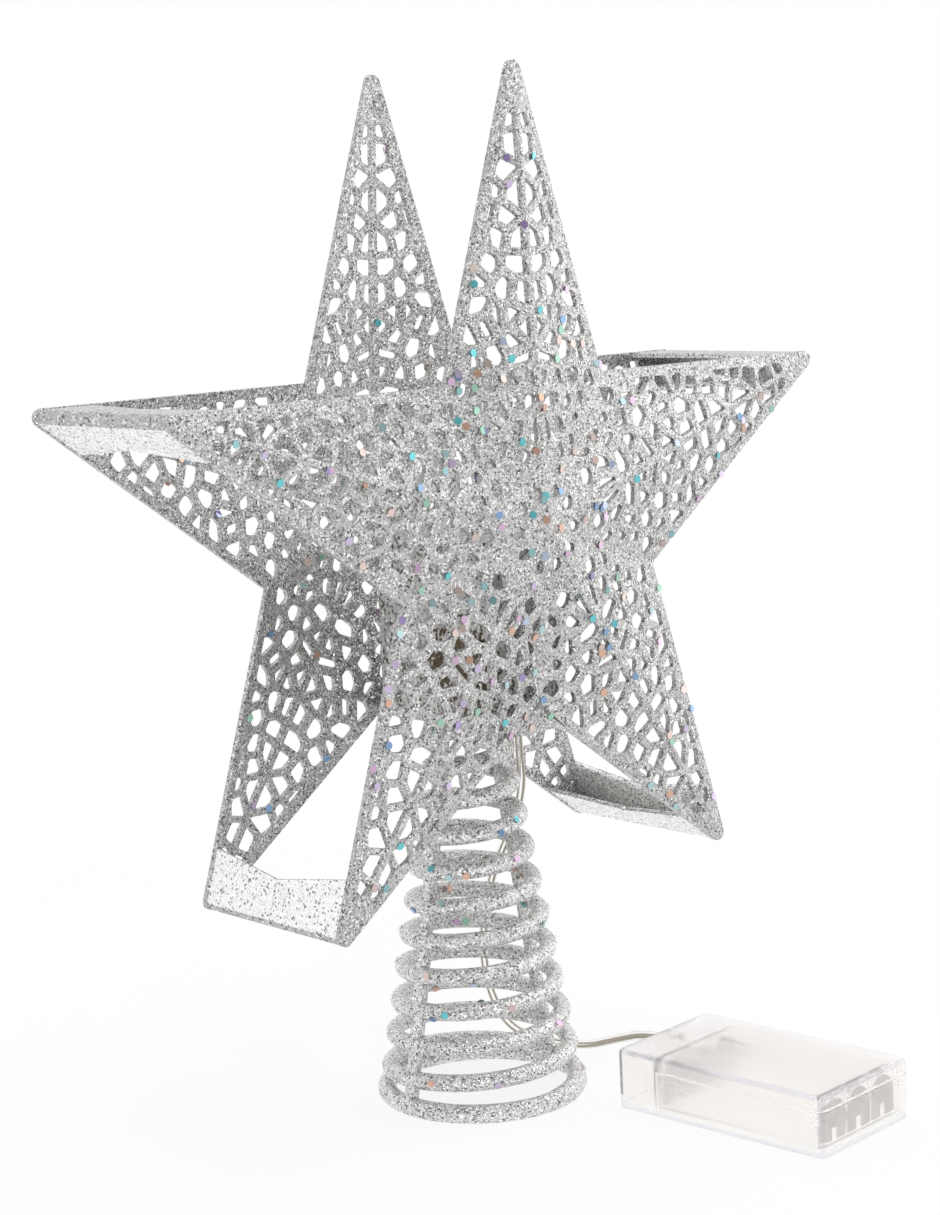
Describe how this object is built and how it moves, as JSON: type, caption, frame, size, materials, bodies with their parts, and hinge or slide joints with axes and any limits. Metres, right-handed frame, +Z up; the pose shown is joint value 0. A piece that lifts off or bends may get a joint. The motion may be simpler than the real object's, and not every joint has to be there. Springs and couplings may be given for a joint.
{
  "type": "christmas tree topper star",
  "caption": "Lit tree topper: a pierced relief star of two halves on a spiral cone that slips over the tree's tip, with a lead to a small battery box.",
  "frame": {"origin": "middle of the cone's foot ring, on the surface that it stands on", "axes": "+Z up along the cone, -Y out of the star's front face, +X to the right of someone who faces it"},
  "size_m": [0.2204, 0.136, 0.2694],
  "materials": {
    "silver_glitter": "silver plastic covered all over with fine glitter and a few iridescent sequins",
    "amber_plastic": "smooth amber brown plastic",
    "circuit_board": "green board lacquer",
    "lamp_lens": "clear epoxy lens",
    "clear_lead": "clear flexible twin lead over tinned wire",
    "clear_plastic": "clear moulded plastic with a fine frost on the broad faces",
    "plated_steel": "nickel plated sheet and wire",
    "dark_plastic": "black moulded plastic"
  },
  "bodies": {
    "topper": {"front_star": "silver_glitter", "back_star": "silver_glitter", "base_plate": "silver_glitter", "tree_cone": "silver_glitter", "lamp_housing": "amber_plastic", "lamp_board": "circuit_board", "lamp_1": "lamp_lens", "lamp_2": "lamp_lens", "lamp_3": "lamp_lens", "cord": "clear_lead", "battery_tray": "clear_plastic", "contact_far_double": "plated_steel", "contact_far_single": "plated_steel", "contact_near_single": "plated_steel", "contact_near_double": "plated_steel", "spring_1": "plated_steel", "spring_2": "plated_steel", "spring_3": "plated_steel", "switch_body": "plated_steel"},
    "battery_lid": {"battery_lid": "clear_plastic"},
    "switch_knob": {"switch_knob": "dark_plastic"}
  },
  "joints": [
    {"name": "lid_slide", "type": "slide", "parent": "topper", "child": "battery_lid", "axis": [0.0819, -0.9966, 0], "range_m": [0, 0.048]},
    {"name": "switch_slide", "type": "slide", "parent": "topper", "child": "switch_knob", "axis": [0.9966, 0.0819, 0], "range_m": [0, 0.002]}
  ]
}
